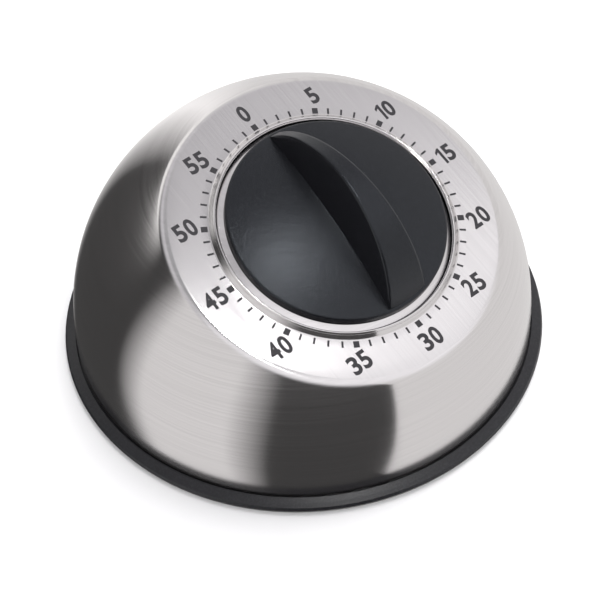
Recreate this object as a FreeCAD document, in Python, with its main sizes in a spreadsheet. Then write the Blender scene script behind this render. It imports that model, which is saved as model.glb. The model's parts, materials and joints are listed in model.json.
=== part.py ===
import FreeCAD, Part
import math
import os
import Sketcher

# Clockwork kitchen timer: a steel dome with a slanted dial, a knob with a wedge-shaped finger bar,
# and a 60 minute movement with a bell under the dial.
#
# Two frames are used, both in millimetres.
#   row frame: origin at the bottom centre of the foot ring, +Z up, front at -Y
#   dial frame: origin at the centre of the dial face, +Z out of the dial, +Y towards the 0 mark

doc = FreeCAD.newDocument("kitchen_timer")
V = FreeCAD.Vector

# ---------------------------------------------------------------- driving dimensions
SIZES = [
    # case
    ("dial_tilt", 19.68),        # slant of the dial face, degrees
    ("dome_radius", 45.0),
    ("dome_height", 4.6),        # centre of the dome's sphere above the table
    ("dial_drop", 32.4),         # from the sphere's centre to the dial face
    ("shell_wall", 0.6),
    ("shell_foot", 2.0),         # height of the shell's lower edge
    ("edge_round", 2.5),         # roll-over between dial face and dome
    ("bead_radius", 22.4),
    ("bead_section", 0.65),
    ("bead_lift", 0.15),
    ("well_radius", 21.75),
    ("well_depth", 1.8),
    ("well_bore", 6.0),
    ("rim_radius", 47.5),
    ("rim_round", 0.9),
    ("rim_height", 2.3),
    ("tray_bottom", 0.5),
    ("tray_floor", 1.7),
    ("spigot_radius", 44.1),
    ("spigot_wall", 1.4),
    ("spigot_top", 5.0),
    ("foot_inner", 38.0),
    ("foot_outer", 42.5),
    ("foot_thick", 1.0),
    ("base_screw_ring", 35.5),
    ("base_screw_radius", 1.2),
    ("screw_clear", 0.1),
    ("boss_radius", 3.0),
    ("boss_low", 1.0),
    ("boss_top", 7.0),
    ("recess_top", 2.5),
    ("slot_wide", 0.6),
    ("slot_deep", 0.7),
    ("bracket_wide", 8.0),
    ("bracket_thick", 1.2),
    ("bracket_inner", 31.5),
    ("bracket_tab", 39.5),
    ("vent_radius", 1.1),
    ("well_screw_ring", 14.0),
    ("well_screw_radius", 0.9),
    ("well_screw_head", 1.8),
    # knob
    ("knob_radius", 20.3),
    ("knob_seat", 0.5),          # top of the steel ring under the knob
    ("knob_gap", 0.4),           # shadow line between the ring and the knob's lower edge
    ("knob_rim", 2.4),
    ("knob_crown", 4.9),
    ("fin_top", 14.8),
    ("knob_edge", 0.5),          # roll-over at the knob's rim
    ("fin_narrow_left", 0.2),    # the finger bar's sides at the pointer end, left and right of the axis
    ("fin_narrow_right", 1.7),
    ("fin_wide_left", 4.0),      # the same at the other end
    ("fin_wide_right", 4.5),
    ("fin_lean", 6.5),           # slope of the bar's left side, degrees from upright
    ("fin_round", 0.5),
    ("ring_radius", 21.45),
    ("ring_thick", 0.6),
    ("ring_slope", 0.45),        # fall of the ring's bevel from under the knob to its edge
    ("hub_radius", 4.6),
    ("hub_low", 1.4),
    ("hub_collar", 1.0),
    ("under_wall", 1.6),
    ("under_low", 1.4),
    ("under_high", 2.6),
    ("stop_radius", 0.6),
    ("stop_ring", 17.5),
    ("arbor_radius", 2.0),
    ("seat_radius", 2.5),
    # movement
    ("plate_radius", 23.0),
    ("plate_thick", 1.0),
    ("front_top", 2.4),          # depth of the front plate's upper face
    ("rear_top", 17.2),          # depth of the rear plate's upper face
    ("pillar_ring", 20.6),
    ("pillar_radius", 1.5),
    ("pivot_radius", 0.5),
    ("running_gap", 0.06),
    ("wheel_thick", 0.9),
    ("great_teeth", 72),
    ("great_module", 0.4),
    ("second_teeth", 60),
    ("second_module", 0.35),
    ("third_teeth", 48),
    ("third_module", 0.3),
    ("pinion_leaves", 8),
    ("escape_teeth", 15),
    ("escape_radius", 5.0),
    ("spring_outer", 9.4),
    ("spring_inner", 3.2),
    ("spring_turns", 7),
    ("spring_strip", 0.25),
    ("spring_width", 4.6),
    ("bell_radius", 14.0),
    ("bell_deep", 6.0),
    ("bell_wall", 0.9),
]

sheet = doc.addObject("Spreadsheet::Sheet", "dims")
for line, (word, value) in enumerate(SIZES, start=1):
    sheet.set("A%d" % line, word)
    sheet.set("B%d" % line, str(value))
    sheet.setAlias("B%d" % line, word)
doc.recompute()


def size(word):
    """The value of one cell of the sheet."""
    return float(sheet.get(word))


TILT = size("dial_tilt")
NORMAL = V(0, -math.sin(math.radians(TILT)), math.cos(math.radians(TILT)))
DIAL_CENTRE = V(0, 0, size("dome_height")) + NORMAL * size("dial_drop")
DIAL = FreeCAD.Placement(DIAL_CENTRE, FreeCAD.Rotation(V(1, 0, 0), TILT))
ROW = FreeCAD.Placement()
pieces = []


def keep(thing, label):
    """Give a finished sub-part its name, and put it on the list that is written out."""
    thing.Label = label
    pieces.append(thing)
    return thing


def bind(thing, **cells):
    """Tie properties of an object to formulas over the sheet's cells."""
    for name, formula in cells.items():
        thing.setExpression(name, formula)


def formula(text):
    """A formula in which each cell's bare name stands for that cell of the sheet."""
    out = ""
    word = ""
    for letter in text + " ":
        if letter.isalpha() or letter == "_":
            word += letter
            continue
        known = [name for name, _ in SIZES]
        out += ("dims." + word) if word in known else word
        out += letter
        word = ""
    return out.strip()


def solid(kind, name, place, **cells):
    """A Part primitive in one of the two frames, with its sizes bound to the sheet."""
    thing = doc.addObject("Part::" + kind, name)
    for prop, text in cells.items():
        bind(thing, **{prop: formula(text)})
    doc.recompute()
    thing.Placement = place
    return thing


def at(x, y, z, frame=DIAL):
    """A placement at a point of a frame."""
    return frame.multiply(FreeCAD.Placement(V(x, y, z), FreeCAD.Rotation()))


def join(label, things, kind="Fuse"):
    """Fuse several solids, or cut the others from the first."""
    if kind == "Cut":
        rest = things[1] if len(things) == 2 else join(label + "_tools", things[1:])
        out = doc.addObject("Part::Cut", label + "_cut")
        out.Base = things[0]
        out.Tool = rest
    else:
        out = doc.addObject("Part::MultiFuse", label + "_fuse")
        out.Shapes = things
    doc.recompute()
    return out


def common(label, first, second):
    """What two solids share."""
    out = doc.addObject("Part::MultiCommon", label + "_common")
    out.Shapes = [first, second]
    doc.recompute()
    return out


def turned(label, place, profile, name=None):
    """A PartDesign body turned about its Z axis from a closed outline of (radius, height) formulas."""
    body = doc.addObject("PartDesign::Body", name or label + "_body")
    planes = {p.Role: p for p in body.Origin.OriginFeatures}
    sketch = body.newObject("Sketcher::SketchObject", label + "_outline")
    sketch.AttachmentSupport = [(planes["XZ_Plane"], "")]
    sketch.MapMode = "FlatFace"
    points = [(value(r), value(h)) for r, h in profile]
    count = len(points)
    for i in range(count):
        a = V(points[i][0], points[i][1], 0)
        b = V(points[(i + 1) % count][0], points[(i + 1) % count][1], 0)
        sketch.addGeometry(Part.LineSegment(a, b), False)
    for i in range(count):
        sketch.addConstraint(Sketcher.Constraint("Coincident", i, 2, (i + 1) % count, 1))
    for i, (r, h) in enumerate(profile):
        for axis, text, number in (("DistanceX", r, points[i][0]), ("DistanceY", h, points[i][1])):
            spot = sketch.addConstraint(Sketcher.Constraint(axis, -1, 1, i, 1, number))
            if any(letter.isalpha() for letter in str(text)):
                sketch.setExpression("Constraints[%d]" % spot, formula(str(text)))
    turn = body.newObject("PartDesign::Revolution", label + "_turn")
    turn.Profile = sketch
    turn.ReferenceAxis = (sketch, ["V_Axis"])
    turn.Angle = 360.0
    body.Tip = turn
    doc.recompute()
    body.Placement = place
    return body


def value(text):
    """The number that a formula of cell names gives."""
    names = {name: size(name) for name, _ in SIZES}
    out = 0.0
    for part in str(text).replace("-", "+-").split("+"):
        part = part.strip()
        if not part:
            continue
        sign = 1.0
        if part.startswith("-"):
            sign = -1.0
            part = part[1:].strip()
        product = 1.0
        for factor in part.split("*"):
            factor = factor.strip()
            product *= names[factor] if factor in names else float(factor)
        out += sign * product
    return out


def shaped(label, shape, place):
    """A Part::Feature for an outline that no sketch or primitive fits, such as a toothed wheel."""
    thing = doc.addObject("Part::Feature", label + "_shape")
    thing.Shape = shape
    thing.Placement = place
    return thing


def plate_from(points, low, thick):
    """A flat plate cut to an outline, from height low upwards."""
    wire = Part.makePolygon([V(x, y, low) for x, y in points] + [V(points[0][0], points[0][1], low)])
    return Part.Face(wire).extrude(V(0, 0, thick))


def disc(radius, low, thick, x=0.0, y=0.0):
    return Part.makeCylinder(radius, thick, V(x, y, low))


def polar(radius, degrees):
    return radius * math.cos(math.radians(degrees)), radius * math.sin(math.radians(degrees))


# ---------------------------------------------------------------- case: the steel dome
# The dome, its dial face, the bead and the well are round about the dial's axis. The lower edge is level.
def dome_solid(name, radius, top, rounding):
    ball = solid("Sphere", name + "_ball", DIAL.multiply(FreeCAD.Placement(V(0, 0, -size("dial_drop")),
                 FreeCAD.Rotation())), Radius=radius)
    block = solid("Cylinder", name + "_block", at(0, 0, -2 * size("dome_radius")), Radius="2*dome_radius",
                  Height="2*dome_radius" + top)
    cap = common(name + "_cap", ball, block)
    rounded = doc.addObject("Part::Fillet", name + "_rounded")
    rounded.Base = cap
    rim = [i + 1 for i, edge in enumerate(cap.Shape.Edges)
           if len(edge.Vertexes) == 1 and edge.Length > 100]
    rounded.Edges = [(i, rounding, rounding) for i in rim]
    doc.recompute()
    return rounded


outer = dome_solid("outer", "dome_radius", "", size("edge_round"))
inner = dome_solid("inner", "dome_radius-shell_wall", "-shell_wall",
                   size("edge_round") - size("shell_wall"))
bead = solid("Torus", "bead", at(0, 0, size("bead_lift")), Radius1="bead_radius", Radius2="bead_section")
well = turned("well", DIAL, [("well_bore", "-well_depth-shell_wall"),
                             ("well_radius+shell_wall", "-well_depth-shell_wall"),
                             ("well_radius+shell_wall", "-0.3"),
                             ("well_radius", "0.25"),
                             ("well_radius", "-well_depth"),
                             ("well_bore", "-well_depth")])
hollow = solid("Cylinder", "well_hollow", at(0, 0, -size("shell_wall") - 0.2), Radius="well_radius",
               Height="3*shell_wall")
floor_cut = solid("Cylinder", "below_shell", FreeCAD.Placement(V(0, 0, -60 + size("shell_foot")),
                  FreeCAD.Rotation()), Radius="2*dome_radius", Height="60")
skin = join("skin", [outer, inner], "Cut")
skin = join("skin_bead", [skin, bead])
skin = join("skin_open", [skin, hollow], "Cut")
skin = join("skin_well", [skin, well])
screw_ring = size("well_screw_ring")
screw_angles = (90.0, 210.0, 330.0)
bores = []
for i, angle in enumerate(screw_angles):
    x, y = polar(screw_ring, angle)
    bore = solid("Cylinder", "well_screw_bore%d" % i, at(x, y, -4), Radius="well_screw_radius+2*screw_clear",
                 Height="4")
    bores.append(bore)
keep(join("dome_shell", [skin, floor_cut] + bores, "Cut"), "dome_shell")

# ---------------------------------------------------------------- case: base tray, foot and fixings
tray_top = "tray_bottom+tray_floor"
tray = turned("tray", ROW, [(0, "tray_bottom"),
                            ("rim_radius-rim_round", "tray_bottom"),
                            ("rim_radius-0.25*rim_round", "tray_bottom+0.3*rim_round"),
                            ("rim_radius", "tray_bottom+rim_round"),
                            ("rim_radius-0.3*rim_round", "rim_height-0.35*rim_round"),
                            ("rim_radius-1.2*rim_round", "rim_height"),
                            ("dome_radius+0.35", "rim_height+0.35"),
                            ("dome_radius+0.2", "rim_height+0.2"),
                            ("dome_radius+0.2", "shell_foot-0.15"),
                            ("spigot_radius", "shell_foot-0.15"),
                            ("spigot_radius", "spigot_top"),
                            ("spigot_radius-spigot_wall", "spigot_top"),
                            ("spigot_radius-spigot_wall", tray_top),
                            (0, tray_top)])
cuts = [turned("foot_groove", ROW, [("foot_inner-0.05", "0"), ("foot_outer+0.05", "0"),
                                    ("foot_outer+0.05", "foot_thick"), ("foot_inner-0.05", "foot_thick")])]
bosses = []
screws = []
brackets = []
base_angles = (30.0, 150.0, 270.0)
head_thick = 1.3
bracket_wide = size("bracket_wide")
bracket_thick = size("bracket_thick")
for i, angle in enumerate(base_angles):
    x, y = polar(size("base_screw_ring"), angle)
    spin = FreeCAD.Rotation(V(0, 0, 1), angle)
    bosses.append(solid("Cylinder", "boss%d" % i, at(x, y, size("boss_low"), ROW),
                        Radius="boss_radius", Height="boss_top-boss_low"))
    cuts.append(solid("Cylinder", "boss_bore%d" % i, at(x, y, 0, ROW),
                      Radius="base_screw_radius+screw_clear", Height="boss_top+boss_low"))
    cuts.append(solid("Cylinder", "boss_recess%d" % i, at(x, y, 0, ROW),
                      Radius="2*base_screw_radius+screw_clear", Height="recess_top"))
    shank = disc(size("base_screw_radius"), size("recess_top"), 7.5, x, y)
    head_low = size("recess_top") - head_thick
    head = disc(2 * size("base_screw_radius"), head_low, head_thick, x, y)
    slot = Part.makeBox(2 * size("boss_radius"), size("slot_wide"), size("slot_deep"),
                        V(-size("boss_radius"), -size("slot_wide") / 2, head_low))
    slot.Placement = FreeCAD.Placement(V(x, y, 0), spin)
    screws.append(head.fuse(shank).cut(slot))
    arm = Part.makeBox(13, bracket_wide, bracket_thick,
                       V(size("bracket_inner"), -bracket_wide / 2, size("boss_top")))
    tab = Part.makeBox(5, bracket_wide, 7, V(size("bracket_tab"), -bracket_wide / 2, size("boss_top")))
    arm = arm.fuse(tab)
    arm.Placement = FreeCAD.Placement(V(0, 0, 0), spin)
    cavity = Part.makeSphere(size("dome_radius") - size("shell_wall"), V(0, 0, size("dome_height")))
    relief = Part.makeBox(6, bracket_wide + 1, 8,
                          V(size("base_screw_ring"), -(bracket_wide + 1) / 2,
                            size("boss_top") + bracket_thick))
    relief.Placement = FreeCAD.Placement(V(0, 0, 0), spin)
    bracket = arm.common(cavity).cut(relief).cut(disc(size("base_screw_radius"), 6, 9, x, y))
    brackets.append(bracket)
vents = []
for ring, count in ((9.0, 6), (16.0, 12), (23.0, 18)):
    for i in range(count):
        x, y = polar(ring, 360.0 * i / count)
        vents.append(disc(size("vent_radius"), 0, 5, x, y))
vent_holes = shaped("vents", Part.makeCompound(vents), ROW)
tray = join("tray_bosses", [tray] + bosses)
keep(join("base_tray", [tray, vent_holes] + cuts, "Cut"), "base_tray")
foot = turned("foot", ROW, [("foot_inner", "0.15"), ("foot_inner+0.2", "0"), ("foot_outer-0.2", "0"),
                            ("foot_outer", "0.15"), ("foot_outer", "foot_thick"),
                            ("foot_inner", "foot_thick")], "foot_ring_body")
keep(foot, "foot_ring")
keep(shaped("base_screws", Part.makeCompound(screws), ROW), "base_screws")
keep(shaped("base_brackets", Part.makeCompound(brackets), ROW), "base_brackets")

# ---------------------------------------------------------------- knob and its steel ring
rise = size("knob_crown") - size("knob_rim")
crown_radius = (size("knob_radius") ** 2 + rise ** 2) / (2 * rise)
knob_low = size("knob_seat") + size("knob_gap")
drum = solid("Cylinder", "knob_drum", at(0, 0, knob_low), Radius="knob_radius",
             Height="knob_crown-knob_seat-knob_gap")
crown = solid("Sphere", "knob_crown_ball", at(0, 0, size("knob_crown") - crown_radius),
              Radius=str(crown_radius))
sharp_cap = common("knob_cap", drum, crown)
cap = doc.addObject("Part::Fillet", "knob_cap_rounded")
cap.Base = sharp_cap
cap_edges = []
for i, edge in enumerate(sharp_cap.Shape.Edges):
    middle = DIAL.inverse().multVec(edge.valueAt((edge.FirstParameter + edge.LastParameter) / 2))
    if len(edge.Vertexes) == 1 and middle.z > size("knob_rim") - size("knob_edge"):
        cap_edges.append(i + 1)
cap.Edges = [(i, size("knob_edge"), size("knob_edge")) for i in cap_edges]
doc.recompute()
reach = size("knob_radius") - size("knob_edge")
arch_radius = (reach ** 2 + (size("fin_top") - size("knob_rim")) ** 2) / (
    2 * (size("fin_top") - size("knob_rim")))
foot_start = V(-size("fin_wide_left"), -reach, knob_low)
foot_end = V(-size("fin_narrow_left"), reach, knob_low)
wedge_points = [(foot_start.x, foot_start.y), (size("fin_wide_right"), -reach),
                (size("fin_narrow_right"), reach), (foot_end.x, foot_end.y)]
wedge = shaped("wedge", plate_from(wedge_points, knob_low + 0.4, size("fin_top")), DIAL)
arch = solid("Cylinder", "fin_arch", DIAL.multiply(FreeCAD.Placement(
             V(-10, 0, size("fin_top") - arch_radius), FreeCAD.Rotation(V(0, 1, 0), 90))),
             Radius=str(arch_radius), Height="20")
column = solid("Cylinder", "fin_column", at(0, 0, 0), Radius="knob_radius-knob_edge",
               Height="fin_top+1")
side_turn = math.degrees(math.atan2(foot_start.x - foot_end.x, foot_end.y - foot_start.y))
shaving = Part.makeBox(20, 60, 30, V(-20, -30, -10))
shaving.Placement = FreeCAD.Placement((foot_start + foot_end) / 2 + V(0, 0, size("knob_crown") - knob_low),
                                      FreeCAD.Rotation(V(0, 0, 1), side_turn).multiply(
                                          FreeCAD.Rotation(V(0, 1, 0), size("fin_lean"))))
fin = common("fin_side", wedge, arch)
fin = common("fin_ends", fin, column)
fin = join("fin_left", [fin, shaped("fin_shaving", Part.makeCompound([shaving]), DIAL)], "Cut")
fin_round = doc.addObject("Part::Fillet", "fin_rounded")
fin_round.Base = fin
arch_edges = []
for i, edge in enumerate(fin.Shape.Edges):
    middle = DIAL.inverse().multVec(edge.valueAt((edge.FirstParameter + edge.LastParameter) / 2))
    if middle.z > size("fin_top") - 3:
        arch_edges.append(i + 1)
fin_round.Edges = [(i, size("fin_round"), size("fin_round")) for i in arch_edges]
doc.recompute()
hub = solid("Cylinder", "knob_hub", at(0, 0, -size("hub_low")), Radius="hub_radius",
            Height="hub_low+under_low")
under = turned("knob_under", DIAL, [("hub_radius+hub_collar", "0"), ("knob_radius-under_wall", "0"),
                                    ("knob_radius-under_wall", "under_low"),
                                    ("hub_radius+hub_collar", "under_high")])
socket = solid("Cylinder", "knob_socket", at(0, 0, -2), Radius="seat_radius+0.02", Height="6")
moulding = join("knob_solid", [cap, fin_round])
moulding = join("knob_hollow", [moulding, under], "Cut")
moulding = join("knob_hubbed", [moulding, hub])
keep(join("knob", [moulding, socket], "Cut"), "knob")
ring = turned("ring", DIAL, [("hub_radius+0.02", "knob_seat-ring_thick"),
                             ("ring_radius", "knob_seat-ring_thick"),
                             ("ring_radius", "knob_seat-ring_slope"), ("knob_radius", "knob_seat"),
                             ("hub_radius+hub_collar", "knob_seat"),
                             ("hub_radius+hub_collar", "knob_seat+knob_gap"),
                             ("hub_radius+0.02", "knob_seat+knob_gap")])
lug = solid("Box", "ring_lug", at(1.0, 16.4, -1.3), Length="0.8", Width="2.2", Height="1.6")
keep(join("knob_ring", [ring, lug]), "knob_ring")
stop = solid("Cylinder", "stop", at(0, size("stop_ring"), -size("well_depth")), Radius="stop_radius",
             Height="2*stop_radius")
keep(stop, "stop_pin")

# ---------------------------------------------------------------- movement: places of the arbors
def step_from(start, distance, degrees):
    x, y = polar(distance, degrees)
    return start[0] + x, start[1] + y


leaves = int(size("pinion_leaves"))
main_spot = (0.0, 0.0)
second_spot = step_from(main_spot, size("great_module") * (size("great_teeth") + leaves) / 2, 60)
third_spot = step_from(second_spot, size("second_module") * (size("second_teeth") + leaves) / 2, 150)
escape_spot = step_from(third_spot, size("third_module") * (size("third_teeth") + leaves) / 2, 200)
balance_spot = step_from(escape_spot, 7.4, 230)
hammer_spot = (17.5, -9.5)
trip_spot = (-14.5, -12.0)
pillar_angles = (18.0, 176.0, 238.0, 302.0)
pillar_spots = [polar(size("pillar_ring"), a) for a in pillar_angles]
front_top = -size("front_top")
front_low = front_top - size("plate_thick")
rear_top = -size("rear_top")
rear_low = rear_top - size("plate_thick")
gap = size("running_gap")


def drilled_plate(name, top, bores):
    blank = solid("Cylinder", name + "_blank", at(0, 0, top - size("plate_thick")),
                  Radius="plate_radius", Height="plate_thick")
    drills = [disc(r, top - 2, 3, x, y) for (x, y), r in bores]
    return join(name, [blank, shaped(name + "_drills", Part.makeCompound(drills), DIAL)], "Cut")


pivots = [(spot, size("pivot_radius") + gap) for spot in
          (second_spot, third_spot, escape_spot, balance_spot, trip_spot)]
stud = 0.8
front_bores = pivots + [(spot, stud) for spot in pillar_spots]
front_bores += [(main_spot, size("seat_radius") + gap), (hammer_spot, size("pivot_radius") + gap)]
front_bores += [(polar(screw_ring, a), size("well_screw_radius")) for a in screw_angles]
keep(drilled_plate("front_plate", front_top, front_bores), "front_plate")
rear_bores = pivots + [(spot, stud) for spot in pillar_spots]
rear_bores += [(main_spot, 1.5 + gap), (hammer_spot, 1.0 + gap)]
keep(drilled_plate("rear_plate", rear_top, rear_bores), "rear_plate")


def stepped(spot, steps):
    """A turned piece on its own axis: steps of (radius, low, high)."""
    shape = None
    for radius, low, high in steps:
        bar = disc(radius, low, high - low, spot[0], spot[1])
        shape = bar if shape is None else shape.fuse(bar)
    return shape


pillars = []
nuts = []
for spot in pillar_spots:
    pillars.append(stepped(spot, [(size("pillar_radius"), rear_top, front_low),
                                            (stud, front_low, front_top),
                                            (stud, rear_low - 1.6, rear_top)]))
    hexagon = [(spot[0] + polar(2.0, a)[0], spot[1] + polar(2.0, a)[1]) for a in range(0, 360, 60)]
    nuts.append(plate_from(hexagon, rear_low - 1.3, 1.3).cut(disc(stud, rear_low - 2, 3, *spot)))
keep(shaped("pillars", Part.makeCompound(pillars), DIAL), "pillars")
keep(shaped("pillar_nuts", Part.makeCompound(nuts), DIAL), "pillar_nuts")
screws = []
for angle in screw_angles:
    spot = polar(screw_ring, angle)
    screw = stepped(spot, [(size("well_screw_head"), -size("well_depth"), -1.0),
                           (size("well_screw_radius"), front_low, -size("well_depth"))])
    slot = Part.makeBox(4, 0.5, 0.4, V(spot[0] - 2, spot[1] - 0.25, -1.4))
    screws.append(screw.cut(slot))
keep(shaped("movement_screws", Part.makeCompound(screws), DIAL), "movement_screws")


# ---------------------------------------------------------------- movement: toothed wheels
def toothed(teeth, module, turn=0.0, share=0.38, addendum=0.7, dedendum=1.3, tip=0.1):
    """Outline of a wheel with slim teeth: radial flanks under the pitch circle, rounded above it."""
    pitch = 2 * math.pi / teeth
    radius = module * teeth / 2
    half = [(radius - dedendum * module, share / 2)]
    for i in range(5):
        t = i / 4
        half.append((radius + addendum * module * t, tip / 2 + (share - tip) / 2 * math.sqrt(1 - t * t)))
    outline = []
    for k in range(teeth):
        middle = k * pitch + math.radians(turn)
        for r, a in half:
            outline.append((r * math.cos(middle - a * pitch), r * math.sin(middle - a * pitch)))
        for r, a in reversed(half):
            outline.append((r * math.cos(middle + a * pitch), r * math.sin(middle + a * pitch)))
    return outline


def moved(points, spot):
    return [(x + spot[0], y + spot[1]) for x, y in points]


def direction(start, end):
    return math.degrees(math.atan2(end[1] - start[1], end[0] - start[0]))


def crossed(shape, spot, hub, rim, low, thick, arms, turn=0.0):
    """Open a wheel between hub and rim, leaving straight arms."""
    window = disc(rim, low - 1, thick + 2, *spot).cut(disc(hub, low - 1, thick + 2, *spot))
    for i in range(arms):
        bar = Part.makeBox(rim + 1, 1.2, thick + 2, V(0, -0.6, low - 1))
        bar.Placement = FreeCAD.Placement(V(spot[0], spot[1], 0),
                                          FreeCAD.Rotation(V(0, 0, 1), turn + 360.0 * i / arms))
        window = window.cut(bar)
    return shape.cut(window)


def train_wheel(label, spot, teeth, module, level, bore, turn, arms, hub, ring):
    thick = size("wheel_thick")
    blank = plate_from(moved(toothed(teeth, module, turn), spot), level, thick)
    blank = crossed(blank, spot, hub, module * teeth / 2 - ring, level, thick, arms, turn)
    blank = blank.cut(disc(bore, level - 1, thick + 2, *spot))
    keep(shaped(label, blank, DIAL), label)


def train_arbor(label, spot, module, turn, low, high, radius):
    """Arbor with pivots in both plates and leaves cut on it between low and high."""
    pivot = size("pivot_radius")
    shape = stepped(spot, [(pivot, rear_low, front_top), (radius, rear_top + 0.2, front_low - 0.2)])
    leaves_blank = plate_from(moved(toothed(leaves, module, turn, 0.32, 0.5, 1.3, 0.12), spot),
                              low, high - low)
    keep(shaped(label, shape.fuse(leaves_blank), DIAL), label)


# a wheel's tooth faces the gap between two leaves of the pinion that it drives
leaf = 360.0 / leaves
great_turn = direction(main_spot, second_spot)
second_leaf_turn = direction(second_spot, main_spot) + leaf / 2
second_turn = direction(second_spot, third_spot)
third_leaf_turn = direction(third_spot, second_spot) + leaf / 2
third_turn = direction(third_spot, escape_spot)
escape_leaf_turn = direction(escape_spot, third_spot) + leaf / 2
great_level = -6.2
second_level = -13.5
third_level = -9.9
escape_level = -12.0
train_wheel("great_wheel", main_spot, int(size("great_teeth")), size("great_module"), great_level,
            size("arbor_radius") + gap, great_turn, 4, 4.0, 4.2)
train_arbor("second_arbor", second_spot, size("great_module"), second_leaf_turn, -7.0, -4.6, 0.9)
train_wheel("second_wheel", second_spot, int(size("second_teeth")), size("second_module"), second_level,
            0.9, second_turn, 4, 2.2, 1.8)
train_arbor("third_arbor", third_spot, size("second_module"), third_leaf_turn, -14.2, -12.2, 0.8)
train_wheel("third_wheel", third_spot, int(size("third_teeth")), size("third_module"), third_level,
            0.8, third_turn, 4, 1.8, 1.3)
train_arbor("escape_arbor", escape_spot, size("third_module"), escape_leaf_turn, -10.6, -8.4, 0.6)

# ---------------------------------------------------------------- movement: escapement
teeth = int(size("escape_teeth"))
escape_points = []
for k in range(teeth):
    start = 2 * math.pi * k / teeth
    for radius, share in ((0.70, 0.0), (1.0, 0.28), (1.0, 0.36), (0.70, 0.62)):
        angle = start + share * 2 * math.pi / teeth
        escape_points.append((size("escape_radius") * radius * math.cos(angle),
                              size("escape_radius") * radius * math.sin(angle)))
escape = plate_from(moved(escape_points, escape_spot), escape_level, 0.6)
escape = crossed(escape, escape_spot, 1.3, 2.6, escape_level, 0.6, 3)
escape = escape.cut(disc(0.6, escape_level - 1, 3, *escape_spot))
keep(shaped("escape_wheel", escape, DIAL), "escape_wheel")
arbor = stepped(balance_spot, [(size("pivot_radius"), rear_low, front_top),
                                          (0.7, rear_top + 0.2, front_low - 0.2)])
keep(shaped("balance_arbor", arbor, DIAL), "balance_arbor")
# the pallet lever carries two upright pins just outside the tips of the escape wheel's teeth
toward = direction(balance_spot, escape_spot)
reach_pin = size("escape_radius") + 0.45 + 0.35
pallet_low = escape_level - 1.0
pins = []
arms = disc(1.5, pallet_low, 0.6, *balance_spot)
for side in (-38.0, 38.0):
    pin_spot = step_from(escape_spot, reach_pin, toward + 180.0 + side)
    pins.append(disc(0.3, pallet_low, 1.8, *pin_spot))
    heading = direction(balance_spot, pin_spot)
    length = math.dist(balance_spot, pin_spot)
    arm = Part.makeBox(length + 0.5, 1.0, 0.6, V(0, -0.5, pallet_low))
    arm.Placement = FreeCAD.Placement(V(balance_spot[0], balance_spot[1], 0),
                                      FreeCAD.Rotation(V(0, 0, 1), heading))
    arms = arms.fuse(arm)
for pin in pins:
    arms = arms.fuse(pin)
arms = arms.cut(disc(0.7, pallet_low - 1, 4, *balance_spot))
keep(shaped("pallet_lever", arms, DIAL), "pallet_lever")
balance_low = -15.8
rim = disc(5.4, balance_low, 0.9, *balance_spot)
rim = crossed(rim, balance_spot, 1.6, 4.3, balance_low, 0.9, 2, 20)
rim = rim.cut(disc(0.7, balance_low - 1, 3, *balance_spot))
keep(shaped("balance_wheel", rim, DIAL), "balance_wheel")

# ---------------------------------------------------------------- movement: winding and mainspring
arbor = stepped(main_spot, [(size("seat_radius"), -4.9, 3.6), (size("arbor_radius"), -17.0, -4.9),
                                    (1.5, -19.8, -17.0)])
arbor = arbor.cut(disc(3, -19.3, 0.4).cut(disc(1.1, -19.4, 0.6)))
keep(shaped("main_arbor", arbor, DIAL), "main_arbor")
clip = disc(2.6, -19.25, 0.3).cut(disc(1.12, -19.3, 0.4)).cut(Part.makeBox(1.6, 4, 1, V(-0.8, 0, -19.6)))
keep(shaped("arbor_clip", clip, DIAL), "arbor_clip")
ratchet_teeth = 18
ratchet_points = []
for k in range(ratchet_teeth):
    angle = 360.0 * k / ratchet_teeth
    ratchet_points.append(polar(6.2, angle - 1.0))
    ratchet_points.append(polar(5.2, angle))
ratchet = plate_from(ratchet_points, -4.8, 0.9).cut(disc(size("seat_radius"), -6, 3))
keep(shaped("ratchet_wheel", ratchet, DIAL), "ratchet_wheel")
# the click pivots on the great wheel and its nose rests in a gap of the ratchet's teeth
click_spot = polar(9.6, 208.5)
nose_spot = polar(5.52, 181.8)
nose_way = direction(click_spot, nose_spot)
reach_nose = math.dist(click_spot, nose_spot)
click_points = [(reach_nose, 0.0), (0.0, -0.3), (-1.0, -0.9), (-1.6, 0.2), (0.0, 1.2), (reach_nose, 0.5)]
click = plate_from(click_points, -4.9, 0.8).fuse(disc(1.25, -4.9, 0.8)).cut(disc(0.66, -6, 3))
click.Placement = FreeCAD.Placement(V(click_spot[0], click_spot[1], 0),
                                    FreeCAD.Rotation(V(0, 0, 1), nose_way))
keep(shaped("click", Part.makeCompound([click]), DIAL), "click")
wheel_face = great_level + size("wheel_thick")
screw = stepped(click_spot, [(0.6, great_level, -4.05), (1.05, -4.05, -3.6),
                                            (0.9, wheel_face, wheel_face + 0.3)])
keep(shaped("click_screw", screw, DIAL), "click_screw")
coil = disc(1.6, -4.0, 0.35, *click_spot).cut(disc(1.15, -4.1, 1, *click_spot))
leg_way = FreeCAD.Rotation(V(0, 0, 1), 208.5 + 20.0)
leg = Part.makeBox(3.2, 0.3, 0.35, V(1.4, -0.15, -4.0)).fuse(Part.makeBox(0.4, 0.3, -3.65 - wheel_face,
                                                                      V(4.2, -0.15, wheel_face)))
leg.Placement = FreeCAD.Placement(V(click_spot[0], click_spot[1], 0), leg_way)
keep(shaped("click_spring", coil.fuse(leg), DIAL), "click_spring")

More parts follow.
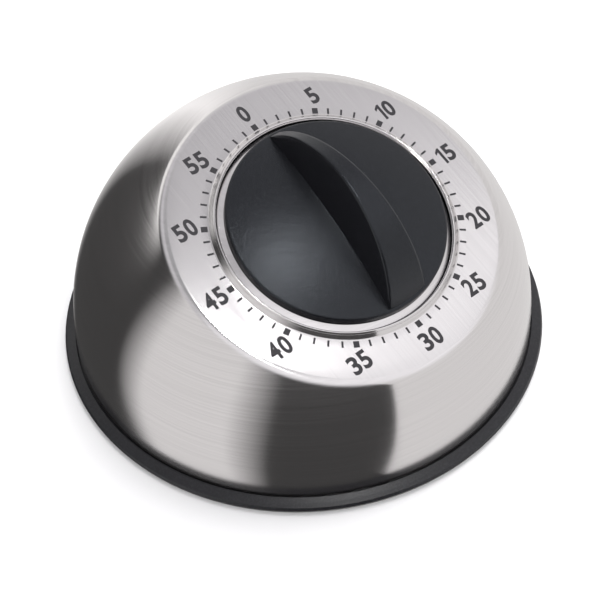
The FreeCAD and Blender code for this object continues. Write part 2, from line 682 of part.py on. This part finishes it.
turns = size("spring_turns")
growth = (size("spring_outer") - size("spring_inner")) / turns
strip = size("spring_strip")
inner_line = []
outer_line = []
steps = int(24 * turns)
for i in range(steps + 1):
    angle = 2 * math.pi * i / 24
    radius = size("spring_inner") + growth * i / 24
    inner_line.append((radius * math.cos(angle), radius * math.sin(angle)))
    outer_line.append(((radius + strip) * math.cos(angle), (radius + strip) * math.sin(angle)))
spring = plate_from(inner_line + outer_line[::-1], -11.9, size("spring_width"))
keep(shaped("mainspring", spring, DIAL), "mainspring")
post_spot = (size("spring_outer") + strip + 0.8, 0.0)
post = disc(0.8, rear_top, -7.0 - rear_top, *post_spot)
keep(shaped("spring_post", post, DIAL), "spring_post")

# ---------------------------------------------------------------- movement: trip cam and lever
cam = disc(7.0, -15.9, 0.9)
notch = Part.makeBox(3, 2.2, 3, V(-7.6, -4.9, -17))
cam = cam.cut(notch).cut(disc(size("arbor_radius"), -17, 3))
keep(shaped("trip_cam", cam, DIAL), "trip_cam")
tip_heading = 200.0
tip_spot = polar(7.0 + 0.5 + 0.15, tip_heading)
heading = direction(trip_spot, tip_spot)
length = math.dist(trip_spot, tip_spot)
lever = Part.makeBox(length, 1.2, 0.8, V(0, -0.6, -15.8))
tail = Part.makeBox(5.0, 1.2, 0.8, V(-5.0, -0.6, -15.8))
lever = lever.fuse(tail)
lever.Placement = FreeCAD.Placement(V(trip_spot[0], trip_spot[1], 0), FreeCAD.Rotation(V(0, 0, 1), heading))
lever = lever.fuse(disc(0.5, -15.8, 0.8, *tip_spot)).fuse(disc(1.4, -15.8, 0.8, *trip_spot))
lever = lever.cut(disc(0.7, -17, 3, *trip_spot))
keep(shaped("trip_lever", Part.makeCompound([lever]), DIAL), "trip_lever")
post = stepped(trip_spot, [(size("pivot_radius"), rear_low, front_top),
                                   (0.7, rear_top + 0.2, front_low - 0.2)])
keep(shaped("trip_arbor", post, DIAL), "trip_arbor")

# ---------------------------------------------------------------- hammer, bell and its fixing
arbor = stepped(hammer_spot, [(size("pivot_radius"), front_low - 0.2, front_top),
                                        (1.0, -21.8, front_low - 0.2)])
keep(shaped("hammer_arbor", arbor, DIAL), "hammer_arbor")
coil = disc(1.55, rear_low - 2.0, 2.0, *hammer_spot).cut(disc(1.15, rear_low - 3, 4, *hammer_spot))
leg = Part.makeBox(0.4, 4.0, 0.4, V(hammer_spot[0] + 1.15, hammer_spot[1], rear_low - 1.9))
stop = Part.makeBox(0.4, 0.4, 1.9, V(hammer_spot[0] + 1.15, hammer_spot[1] + 3.6, rear_low - 1.9))
keep(shaped("hammer_spring", coil.fuse(leg).fuse(stop), DIAL), "hammer_spring")
head_spot = (19.3, 1.2)
heading = direction(hammer_spot, head_spot)
length = math.dist(hammer_spot, head_spot)
arm = Part.makeBox(length, 1.6, 0.8, V(0, -0.8, -21.4))
arm.Placement = FreeCAD.Placement(V(hammer_spot[0], hammer_spot[1], 0), FreeCAD.Rotation(V(0, 0, 1), heading))
arm = arm.fuse(disc(1.8, -21.4, 0.8, *hammer_spot)).fuse(disc(1.2, -21.4, 0.8, *head_spot))
arm = arm.cut(disc(1.0, -23, 3, *hammer_spot)).cut(disc(0.6, -23, 3, *head_spot))
keep(shaped("hammer_arm", arm, DIAL), "hammer_arm")
head = stepped(head_spot, [(1.5, -25.0, -21.4), (0.6, -21.4, -20.4)])
keep(shaped("hammer_head", head, DIAL), "hammer_head")
bell_spot = (3.0, 6.0)
bell_top = -20.4
bell_low = bell_top - size("bell_deep")
bell = turned("bell", at(bell_spot[0], bell_spot[1], 0),
              [(1.1, bell_low), ("bell_radius-2.5", bell_low), ("bell_radius-0.6", bell_low + 1.2),
               ("bell_radius", bell_low + 3.2), ("bell_radius", bell_top),
               ("bell_radius-bell_wall", bell_top), ("bell_radius-bell_wall", bell_low + 3.4),
               ("bell_radius-bell_wall-0.6", bell_low + 1.9),
               ("bell_radius-bell_wall-2.2", "bell_wall+%s" % bell_low), (1.1, "bell_wall+%s" % bell_low)])
keep(bell, "bell")
post = stepped(bell_spot, [(1.9, bell_low + size("bell_wall"), rear_low),
                                        (1.1, bell_low - 1.8, bell_low + size("bell_wall"))])
keep(shaped("bell_post", post, DIAL), "bell_post")
hexagon = moved([polar(2.3, a) for a in range(0, 360, 60)], bell_spot)
nut = plate_from(hexagon, bell_low - 1.4, 1.4).cut(disc(1.1, bell_low - 3, 5, *bell_spot))
keep(shaped("bell_nut", nut, DIAL), "bell_nut")

# ---------------------------------------------------------------- check and write
doc.recompute()
for thing in doc.Objects:
    if "Invalid" in thing.State or "Error" in thing.State:
        raise RuntimeError("failed: %s %s" % (thing.Name, thing.State))
os.makedirs("parts", exist_ok=True)
for thing in pieces:
    shape = thing.Shape
    if shape.isNull() or not shape.isValid() or not shape.Solids:
        raise RuntimeError("bad shape: " + thing.Label)
    shape.exportStep("parts/%s.step" % thing.Label)
    print("%-16s solids %d volume %.2f" % (thing.Label, len(shape.Solids), shape.Volume))
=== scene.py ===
import json
import math

import bmesh
import bpy
from mathutils import Matrix, Vector


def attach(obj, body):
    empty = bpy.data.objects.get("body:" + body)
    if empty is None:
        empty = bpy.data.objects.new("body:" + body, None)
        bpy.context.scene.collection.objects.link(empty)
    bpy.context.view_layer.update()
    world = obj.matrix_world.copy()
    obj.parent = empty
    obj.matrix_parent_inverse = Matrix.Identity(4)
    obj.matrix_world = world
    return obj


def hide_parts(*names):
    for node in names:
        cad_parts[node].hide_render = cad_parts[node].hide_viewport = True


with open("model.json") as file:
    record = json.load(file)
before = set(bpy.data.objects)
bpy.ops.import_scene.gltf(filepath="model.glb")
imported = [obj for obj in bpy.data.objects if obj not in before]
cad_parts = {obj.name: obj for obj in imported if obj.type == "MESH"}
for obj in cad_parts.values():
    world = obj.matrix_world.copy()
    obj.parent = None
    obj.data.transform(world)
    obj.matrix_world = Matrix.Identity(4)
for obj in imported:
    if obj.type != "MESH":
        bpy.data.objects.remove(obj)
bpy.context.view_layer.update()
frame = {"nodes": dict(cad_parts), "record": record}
MM = 0.001

# Viewpoint: a tabletop product view from the front left, looking down at the slanted dial.
camera_data = bpy.data.cameras.new("camera")
camera_data.lens = 92.2
camera_data.sensor_width = 36.0
camera = bpy.data.objects.new("camera", camera_data)
camera.location = (-122.4 * MM, -159.9 * MM, 233.9 * MM)
camera.rotation_euler = [math.radians(a) for a in (41.29, 2.12, -39.72)]
bpy.context.scene.collection.objects.link(camera)
bpy.context.scene.camera = camera

# Table: one pale sheet that turns up into a backdrop all round. The steel mirrors the room, not it.
bpy.context.scene.view_settings.view_transform = "Standard"
table = bpy.data.meshes.new("table")
sheet = bmesh.new()
line = [(0.0, 0.0), (0.3, 0.0), (1.3, 0.0), (1.55, 0.04), (1.75, 0.16), (1.9, 0.4), (1.95, 1.2)]
rail = [sheet.verts.new((r, 0, h)) for r, h in line]
rail_edges = [sheet.edges.new(pair) for pair in zip(rail, rail[1:])]
bmesh.ops.spin(sheet, geom=rail + rail_edges, cent=(0, 0, 0), axis=(0, 0, 1), angle=math.tau,
               steps=96, use_merge=True)
bmesh.ops.remove_doubles(sheet, verts=sheet.verts, dist=1e-6)
bmesh.ops.recalc_face_normals(sheet, faces=sheet.faces)
sheet.to_mesh(table)
sheet.free()
for face in table.polygons:
    face.use_smooth = True
table = bpy.data.objects.new("table", table)
bpy.context.scene.collection.objects.link(table)
table.visible_glossy = False
table.visible_shadow = False
paper = bpy.data.materials.new("table paper")
paper.use_nodes = True
grain = paper.node_tree.nodes.new("ShaderNodeTexNoise")
grain.inputs["Scale"].default_value = 40.0
place = paper.node_tree.nodes.new("ShaderNodeTexCoord")
tone = paper.node_tree.nodes.new("ShaderNodeValToRGB")
tone.color_ramp.elements[0].color = (0.90, 0.90, 0.91, 1)
tone.color_ramp.elements[1].color = (0.93, 0.93, 0.93, 1)
paper.node_tree.links.new(place.outputs["Object"], grain.inputs["Vector"])
paper.node_tree.links.new(grain.outputs["Fac"], tone.inputs["Fac"])
paper_shader = paper.node_tree.nodes["Principled BSDF"]
paper.node_tree.links.new(tone.outputs["Color"], paper_shader.inputs["Base Color"])
paper_shader.inputs["Roughness"].default_value = 0.9
table.data.materials.append(paper)


# Lamps: a soft key almost straight above the dial, whose glint is on the knob and across the dial,
# and two wide fills that light the table only, so that it comes out white.
def soft_box(name, place, size, power, in_mirror):
    data = bpy.data.lights.new(name, "AREA")
    data.shape = "RECTANGLE"
    data.size = size
    data.size_y = size
    data.energy = power
    lamp = bpy.data.objects.new(name, data)
    lamp.location = place
    lamp.rotation_euler = Vector(place).to_track_quat("Z", "Y").to_euler()
    lamp.visible_glossy = in_mirror
    bpy.context.scene.collection.objects.link(lamp)


soft_box("key", (0.073, -0.154, 1.227), 0.11, 2.2, True)
soft_box("second key", (0.19, -0.065, 1.17), 0.15, 0.06, True)
soft_box("fill right", (0.7, 0.3, 1.0), 0.9, 11.0, False)
soft_box("fill front", (-0.2, -0.9, 0.9), 0.9, 3.0, False)

# Room: light and dark walls by compass bearing, with a pale ceiling and bright panels high at the back
# and high in front. The dome turns the walls into the bands that run down it, and the dial, the bead
# and the knob's ring pick up the ceiling and its panels.
world = bpy.data.worlds.new("room")
bpy.context.scene.world = world
world.use_nodes = True
room = world.node_tree


def sum_of(operation, *values):
    """A math node over sockets and plain numbers."""
    node = room.nodes.new("ShaderNodeMath")
    node.operation = operation
    for slot, given in zip(node.inputs, values):
        if isinstance(given, bpy.types.NodeSocket):
            room.links.new(given, slot)
        else:
            slot.default_value = given
    return node.outputs[0]


def ramp_up(given, low, high):
    """0 below low, 1 above high, and a soft step between the two."""
    node = room.nodes.new("ShaderNodeMapRange")
    node.interpolation_type = "SMOOTHSTEP"
    node.inputs["From Min"].default_value = low
    node.inputs["From Max"].default_value = high
    room.links.new(given, node.inputs["Value"])
    return node.outputs["Result"]


def painted(below, share, colour):
    """Lay a colour, plain or from a socket, over what is there already."""
    node = room.nodes.new("ShaderNodeMix")
    node.data_type = "RGBA"
    room.links.new(share, node.inputs[0])
    room.links.new(below, node.inputs[6])
    if isinstance(colour, bpy.types.NodeSocket):
        room.links.new(colour, node.inputs[7])
    else:
        node.inputs[7].default_value = (*colour, 1)
    return node.outputs[2]


way = room.nodes.new("ShaderNodeTexCoord")
split = room.nodes.new("ShaderNodeSeparateXYZ")
room.links.new(way.outputs["Generated"], split.inputs["Vector"])
east, north, up = split.outputs
turn_share = sum_of("MULTIPLY_ADD", sum_of("ARCTAN2", east, north), 1 / math.tau, 0.5)
walls = room.nodes.new("ShaderNodeValToRGB")
PALE_WALL = 0.85
DARK_WALL = 0.06
WINDOW = 1.2
PANEL = (1.12, 1.11, 1.13)
WALLS = [(-175, DARK_WALL), (-130, DARK_WALL), (-110, PALE_WALL), (-70, PALE_WALL), (-55, DARK_WALL),
         (0, DARK_WALL), (20, WINDOW), (30, PALE_WALL), (155, PALE_WALL)]
while len(walls.color_ramp.elements) > 1:
    walls.color_ramp.elements.remove(walls.color_ramp.elements[-1])
for i, (degrees, level) in enumerate(WALLS):
    stop = walls.color_ramp.elements[0] if i == 0 else walls.color_ramp.elements.new(degrees / 360 + 0.5)
    stop.position = degrees / 360 + 0.5
    stop.color = (level, level * 0.985, level * 0.975, 1)
room.links.new(sum_of("MULTIPLY_ADD", up, 0.03, turn_share), walls.inputs["Fac"])
south = sum_of("MULTIPLY", north, -1.0)
light = painted(walls.outputs["Color"], ramp_up(up, 0.62, 0.86), (0.68, 0.67, 0.69))
light = painted(light, sum_of("MULTIPLY", ramp_up(up, 0.62, 0.86), ramp_up(south, 0.055, 0.12)),
                PANEL)
light = painted(light, ramp_up(up, 0.92, 0.985), (0.42, 0.42, 0.43))
light = painted(light, sum_of("MULTIPLY", ramp_up(north, 0.6, 0.8), ramp_up(up, 0.3, 0.45)),
                (1.15, 1.14, 1.12))
light = painted(light, sum_of("MULTIPLY", ramp_up(south, 0.25, 0.5), ramp_up(up, 0.32, 0.72)),
                PANEL)
room.links.new(light, room.nodes["Background"].inputs["Color"])

# Dial frame: origin at the centre of the dial face, +Z out of the dial, +Y towards the 0 mark.
# The knob's hinge gives both, so every dial piece is laid out flat and then carried there.
turn = next(j for j in frame["record"]["behaviour"]["joints"] if j["name"] == "knob_turn")
dial_normal = -Vector(turn["axis"])
tilt = math.atan2(-dial_normal.y, dial_normal.z)
DIAL = Matrix.Translation(Vector(turn["pos_m"])) @ Matrix.Rotation(tilt, 4, "X")


def arc(centre, radius, first, last, steps):
    """Points of an arc in a (radius, height) profile, from angle first to last in degrees."""
    points = []
    for i in range(steps + 1):
        a = math.radians(first + (last - first) * i / steps)
        points.append((centre[0] + radius * math.cos(a), centre[1] + radius * math.sin(a)))
    return points


def spun(profile, steps, closed=False):
    """A bmesh turned about Z from a profile of (radius, height) in millimetres."""
    bm = bmesh.new()
    verts = [bm.verts.new((r * MM, 0, h * MM)) for r, h in profile]
    edges = [bm.edges.new(pair) for pair in zip(verts, verts[1:])]
    if closed:
        edges.append(bm.edges.new((verts[-1], verts[0])))
    bmesh.ops.spin(bm, geom=verts + edges, cent=(0, 0, 0), axis=(0, 0, 1), angle=math.tau,
                   steps=steps, use_merge=True)
    bmesh.ops.remove_doubles(bm, verts=bm.verts, dist=1e-6)
    bmesh.ops.recalc_face_normals(bm, faces=bm.faces)
    return bm


def piece(name, bm, body, material, place=None, smooth=True):
    """Turn a finished bmesh into an object at its place, riding on a body."""
    if place is not None:
        bmesh.ops.transform(bm, matrix=place, verts=bm.verts)
    mesh = bpy.data.meshes.new(name)
    bm.to_mesh(mesh)
    bm.free()
    for face in mesh.polygons:
        face.use_smooth = smooth
    obj = bpy.data.objects.new(name, mesh)
    bpy.context.scene.collection.objects.link(obj)
    obj.data.materials.append(material)
    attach(obj, body)
    return obj


# Dome shell: one pressing of stainless steel, brushed level round the dome and straight across the
# flat dial, with a raised bead round the well that the knob sits in.
DOME_RADIUS = 45.0
DIAL_DROP = 32.4
EDGE_ROUND = 2.5
SHELL_WALL = 0.6
SHELL_FOOT = 2.0
WELL_RADIUS = 21.75
WELL_DEPTH = 1.8
FLOOR_ROUND = 0.4
BEAD_TOP = 0.95
BEAD_ROUND = 0.2
BEAD_SLOPE = 32
BEAD_FOOT = 23.2
FOOT_ROUND = 0.45
edge_centre = math.sqrt((DOME_RADIUS - EDGE_ROUND) ** 2 - (DIAL_DROP - EDGE_ROUND) ** 2)
edge_angle = math.degrees(math.atan2(DIAL_DROP - EDGE_ROUND, edge_centre))
profile = [(6.0, -WELL_DEPTH), (12.0, -WELL_DEPTH), (18.0, -WELL_DEPTH)]
profile += arc((WELL_RADIUS - FLOOR_ROUND, -WELL_DEPTH + FLOOR_ROUND), FLOOR_ROUND, -90, 0, 4)
profile += [(WELL_RADIUS, -0.6), (WELL_RADIUS, 0.2)]
profile += arc((WELL_RADIUS + BEAD_ROUND, BEAD_TOP - BEAD_ROUND), BEAD_ROUND, 180, BEAD_SLOPE, 8)
profile += arc((BEAD_FOOT, FOOT_ROUND), FOOT_ROUND, 180 + BEAD_SLOPE, 270, 6)
profile += [(24.5, 0.0), (26.0, 0.0), (28.0, 0.0)]
profile += arc((edge_centre, -EDGE_ROUND), EDGE_ROUND, 90, edge_angle, 10)
profile += arc((0, -DIAL_DROP), DOME_RADIUS, edge_angle, -26, 60)[1:]
steel = bpy.data.materials.new("brushed steel")
steel.use_nodes = True
nodes = steel.node_tree.nodes
links = steel.node_tree.links
shader = nodes["Principled BSDF"]
shader.inputs["Metallic"].default_value = 1.0
shader.inputs["Anisotropic"].default_value = 0.92
coords = nodes.new("ShaderNodeTexCoord")
geometry = nodes.new("ShaderNodeNewGeometry")
facing = nodes.new("ShaderNodeVectorMath")
facing.operation = "DOT_PRODUCT"
facing.inputs[1].default_value = dial_normal
links.new(geometry.outputs["Normal"], facing.inputs[0])
on_dial = nodes.new("ShaderNodeMapRange")
on_dial.inputs["From Min"].default_value = 0.985
on_dial.inputs["From Max"].default_value = 0.998
links.new(facing.outputs["Value"], on_dial.inputs["Value"])
across = nodes.new("ShaderNodeMix")
across.data_type = "VECTOR"
across.inputs[4].default_value = (0, 0, 1)
across.inputs[5].default_value = (1, 0, 0)
links.new(on_dial.outputs["Result"], across.inputs[0])
links.new(across.outputs[1], shader.inputs["Tangent"])


def streaks(label, scale, detail=4.0):
    """Noise drawn out into fine lines: small scale along the brushing, large across it."""
    mapping = nodes.new("ShaderNodeMapping")
    mapping.label = label
    mapping.inputs["Scale"].default_value = scale
    links.new(coords.outputs["Object"], mapping.inputs["Vector"])
    noise = nodes.new("ShaderNodeTexNoise")
    noise.inputs["Scale"].default_value = 1.0
    noise.inputs["Detail"].default_value = detail
    links.new(mapping.outputs["Vector"], noise.inputs["Vector"])
    return noise


level = streaks("level brushing on the dome", (25, 25, 5200))
straight = streaks("straight brushing on the dial", (5200, 25, 25))
lines = nodes.new("ShaderNodeMix")
links.new(on_dial.outputs["Result"], lines.inputs[0])
links.new(level.outputs["Fac"], lines.inputs[2])
links.new(straight.outputs["Fac"], lines.inputs[3])
bump = nodes.new("ShaderNodeBump")
bump.inputs["Strength"].default_value = 0.12
bump.inputs["Distance"].default_value = 0.00004
links.new(lines.outputs[0], bump.inputs["Height"])
links.new(bump.outputs["Normal"], shader.inputs["Normal"])
grey = nodes.new("ShaderNodeValToRGB")
grey.color_ramp.elements[0].position = 0.3
grey.color_ramp.elements[0].color = (0.68, 0.66, 0.665, 1)
grey.color_ramp.elements[1].position = 0.7
grey.color_ramp.elements[1].color = (0.745, 0.725, 0.73, 1)
links.new(lines.outputs[0], grey.inputs["Fac"])
links.new(grey.outputs["Color"], shader.inputs["Base Color"])
blur = nodes.new("ShaderNodeMapRange")
blur.inputs["To Min"].default_value = 0.13
blur.inputs["To Max"].default_value = 0.19
links.new(lines.outputs[0], blur.inputs["Value"])
links.new(blur.outputs["Result"], shader.inputs["Roughness"])
bm = spun(profile, 240)
bmesh.ops.transform(bm, matrix=DIAL, verts=bm.verts)
bmesh.ops.bisect_plane(bm, geom=bm.verts[:] + bm.edges[:] + bm.faces[:], plane_co=(0, 0, SHELL_FOOT * MM),
                       plane_no=(0, 0, -1), clear_outer=True)
shell = piece("dome_shell_skin", bm, "case", steel)
wall = shell.modifiers.new("wall", "SOLIDIFY")
wall.thickness = SHELL_WALL * MM
wall.offset = -1.0
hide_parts("dome_shell")

# Dial print: sixty minute ticks, every fifth one wide, and the minutes from 0 to 55, all upright.
ink = bpy.data.materials.new("dial ink")
ink.use_nodes = True
ink_place = ink.node_tree.nodes.new("ShaderNodeTexCoord")
ink_grain = ink.node_tree.nodes.new("ShaderNodeTexNoise")
ink_grain.inputs["Scale"].default_value = 2600
ink_tone = ink.node_tree.nodes.new("ShaderNodeValToRGB")
ink_tone.color_ramp.elements[0].color = (0.012, 0.011, 0.014, 1)
ink_tone.color_ramp.elements[1].color = (0.024, 0.022, 0.026, 1)
ink.node_tree.links.new(ink_place.outputs["Object"], ink_grain.inputs["Vector"])
ink.node_tree.links.new(ink_grain.outputs["Fac"], ink_tone.inputs["Fac"])
ink_shader = ink.node_tree.nodes["Principled BSDF"]
ink.node_tree.links.new(ink_tone.outputs["Color"], ink_shader.inputs["Base Color"])
ink_shader.inputs["Roughness"].default_value = 0.45
INK_THICK = 0.03
TICK_LOW = 23.25
TICK_HIGH = 24.45
TICK_WIDE = 1.08
TICK_THIN = 0.37
bm = bmesh.new()
for minute in range(60):
    width = TICK_WIDE if minute % 5 == 0 else TICK_THIN
    made = bmesh.ops.create_cube(bm, size=1.0)["verts"]
    bmesh.ops.scale(bm, vec=(width * MM, (TICK_HIGH - TICK_LOW) * MM, INK_THICK * MM), verts=made)
    bmesh.ops.translate(bm, vec=(0, (TICK_LOW + TICK_HIGH) / 2 * MM, INK_THICK / 2 * MM), verts=made)
    turned = Matrix.Rotation(-math.radians(6 * minute), 3, "Z")
    bmesh.ops.rotate(bm, cent=(0, 0, 0), matrix=turned, verts=made)
ticks = piece("dial_ticks", bm, "case", ink, DIAL, smooth=False)
NUMBER_RING = 27.25
NUMBER_HEIGHT = 3.55
DIGIT_GAP = 0.36
ONE_WIDE = 1.15
DIGIT_WIDE = 1.93
ONE = [(0.62, 0), (ONE_WIDE, 0), (ONE_WIDE, 1), (0.72, 1), (0, 0.83), (0, 0.67), (0.62, 0.8)]
bm = bmesh.new()
for minute in range(0, 60, 5):
    digits = str(minute)
    widths = [ONE_WIDE if digit == "1" else DIGIT_WIDE for digit in digits]
    left = -(sum(widths) + DIGIT_GAP * (len(digits) - 1)) / 2
    a = math.radians(6 * minute)
    for digit, width in zip(digits, widths):
        spot = (NUMBER_RING * MM * math.sin(a) + left * MM,
                (NUMBER_RING * math.cos(a) - NUMBER_HEIGHT / 2) * MM, 0)
        left += width + DIGIT_GAP
        if digit == "1":
            stem = [bm.verts.new((spot[0] + x * MM, spot[1] + y * NUMBER_HEIGHT * MM, 0)) for x, y in ONE]
            made = bmesh.ops.extrude_face_region(bm, geom=[bm.faces.new(stem)])["geom"]
            bmesh.ops.translate(bm, vec=(0, 0, INK_THICK * MM),
                                verts=[v for v in made if isinstance(v, bmesh.types.BMVert)])
            continue
        text = bpy.data.curves.new("digit", "FONT")
        text.body = digit
        text.size = 1.0
        text.offset = 0.03
        text.extrude = 0.01
        lettering = bpy.data.objects.new("digit", text)
        bpy.context.scene.collection.objects.link(lettering)
        bpy.context.view_layer.update()
        evaluated = lettering.evaluated_get(bpy.context.evaluated_depsgraph_get())
        printed = bpy.data.meshes.new_from_object(evaluated)
        bpy.data.objects.remove(lettering)
        figure = bmesh.new()
        figure.from_mesh(printed)
        low = Vector([min(v.co[i] for v in figure.verts) for i in range(3)])
        high = Vector([max(v.co[i] for v in figure.verts) for i in range(3)])
        grow = [width * MM / (high.x - low.x), NUMBER_HEIGHT * MM / (high.y - low.y),
                INK_THICK * MM / (high.z - low.z)]
        bmesh.ops.translate(figure, vec=-low, verts=figure.verts)
        bmesh.ops.scale(figure, vec=grow, verts=figure.verts)
        bmesh.ops.translate(figure, vec=spot, verts=figure.verts)
        figure.to_mesh(printed)
        figure.free()
        bm.from_mesh(printed)
bmesh.ops.recalc_face_normals(bm, faces=bm.faces)
numbers = piece("dial_numbers", bm, "case", ink, DIAL, smooth=False)

# Moulded black parts: the knob has a fine satin texture with a faint blue sparkle, the base tray is
# the same plastic with a coarser skin, and the foot ring pressed into it is soft rubber.
def moulded(name, dark, pale, roughness, grain_scale, grain_depth, sparkle, tint):
    """A dull moulded material: mottled colour, mottled gloss and a fine raised grain."""
    stuff = bpy.data.materials.new(name)
    stuff.use_nodes = True
    tree = stuff.node_tree
    shader = tree.nodes["Principled BSDF"]
    place = tree.nodes.new("ShaderNodeTexCoord")
    grain = tree.nodes.new("ShaderNodeTexNoise")
    grain.inputs["Scale"].default_value = grain_scale
    grain.inputs["Detail"].default_value = 3.0
    tree.links.new(place.outputs["Object"], grain.inputs["Vector"])
    tone = tree.nodes.new("ShaderNodeValToRGB")
    tone.color_ramp.elements[0].position = 0.35
    tone.color_ramp.elements[0].color = (*dark, 1)
    tone.color_ramp.elements[1].position = 0.65
    tone.color_ramp.elements[1].color = (*pale, 1)
    tree.links.new(grain.outputs["Fac"], tone.inputs["Fac"])
    tree.links.new(tone.outputs["Color"], shader.inputs["Base Color"])
    bump = tree.nodes.new("ShaderNodeBump")
    bump.inputs["Strength"].default_value = 0.5
    bump.inputs["Distance"].default_value = grain_depth
    tree.links.new(grain.outputs["Fac"], bump.inputs["Height"])
    tree.links.new(bump.outputs["Normal"], shader.inputs["Normal"])
    flakes = tree.nodes.new("ShaderNodeMapRange")
    flakes.inputs["From Min"].default_value = 0.5
    flakes.inputs["From Max"].default_value = 0.68
    flakes.inputs["To Min"].default_value = 0.4
    flakes.inputs["To Max"].default_value = sparkle
    tree.links.new(grain.outputs["Fac"], flakes.inputs["Value"])
    tree.links.new(flakes.outputs["Result"], shader.inputs["Specular IOR Level"])
    shader.inputs["Roughness"].default_value = roughness
    shader.inputs["Specular Tint"].default_value = (*tint, 1)
    return stuff


def dress(stuff, *names):
    """Give CAD nodes one material."""
    for name in names:
        node = frame["nodes"][name]
        node.data.materials.clear()
        node.data.materials.append(stuff)


dress(moulded("knob plastic", (0.004, 0.004, 0.005), (0.009, 0.009, 0.011), 0.24, 3200, 0.0001, 0.42,
              (0.85, 0.92, 1.0)), "knob")
dress(moulded("tray plastic", (0.008, 0.008, 0.010), (0.014, 0.014, 0.017), 0.36, 2500, 0.00001, 0.45,
              (1.0, 1.0, 1.0)), "base_tray")
dress(moulded("foot rubber", (0.012, 0.012, 0.012), (0.022, 0.021, 0.020), 0.8, 1800, 0.00005, 0.45,
              (1.0, 1.0, 1.0)), "foot_ring")

# Knob ring: the steel washer that turns with the knob, seen between the knob and the bead. It is cut
# from the dome's steel.
dress(steel, "knob_ring")


# Metal parts of the movement: plates and wheels are brass, arbors and levers bright steel, springs
# blued, fixings zinc plated, and the bell plain steel.
def metal(name, dark, pale, roughness, turned=900):
    """A machined metal with fine tool marks in its colour and its gloss."""
    stuff = bpy.data.materials.new(name)
    stuff.use_nodes = True
    tree = stuff.node_tree
    shader = tree.nodes["Principled BSDF"]
    shader.inputs["Metallic"].default_value = 1.0
    place = tree.nodes.new("ShaderNodeTexCoord")
    marks = tree.nodes.new("ShaderNodeTexNoise")
    marks.inputs["Scale"].default_value = turned
    marks.inputs["Detail"].default_value = 5.0
    tree.links.new(place.outputs["Object"], marks.inputs["Vector"])
    tone = tree.nodes.new("ShaderNodeValToRGB")
    tone.color_ramp.elements[0].color = (*dark, 1)
    tone.color_ramp.elements[1].color = (*pale, 1)
    tree.links.new(marks.outputs["Fac"], tone.inputs["Fac"])
    tree.links.new(tone.outputs["Color"], shader.inputs["Base Color"])
    gloss = tree.nodes.new("ShaderNodeMapRange")
    gloss.inputs["To Min"].default_value = roughness - 0.06
    gloss.inputs["To Max"].default_value = roughness + 0.08
    tree.links.new(marks.outputs["Fac"], gloss.inputs["Value"])
    tree.links.new(gloss.outputs["Result"], shader.inputs["Roughness"])
    return stuff


dress(metal("brass", (0.62, 0.43, 0.16), (0.80, 0.60, 0.28), 0.30), "front_plate", "rear_plate",
      "great_wheel", "second_wheel", "third_wheel", "escape_wheel", "balance_wheel", "trip_cam",
      "pillars", "hammer_head")
dress(metal("bright steel", (0.50, 0.50, 0.51), (0.66, 0.66, 0.67), 0.26), "second_arbor", "third_arbor",
      "escape_arbor", "balance_arbor", "pallet_lever", "main_arbor", "ratchet_wheel", "click",
      "trip_lever", "trip_arbor", "hammer_arbor", "hammer_arm", "spring_post", "stop_pin", "bell_post")
dress(metal("blued spring steel", (0.10, 0.12, 0.20), (0.20, 0.22, 0.30), 0.3), "mainspring",
      "click_spring", "hammer_spring")
dress(metal("zinc plate", (0.55, 0.55, 0.50), (0.72, 0.71, 0.66), 0.38), "base_screws", "base_brackets",
      "pillar_nuts", "movement_screws", "click_screw", "arbor_clip", "bell_nut")
dress(metal("bell steel", (0.56, 0.55, 0.54), (0.66, 0.65, 0.64), 0.18, 400), "bell")
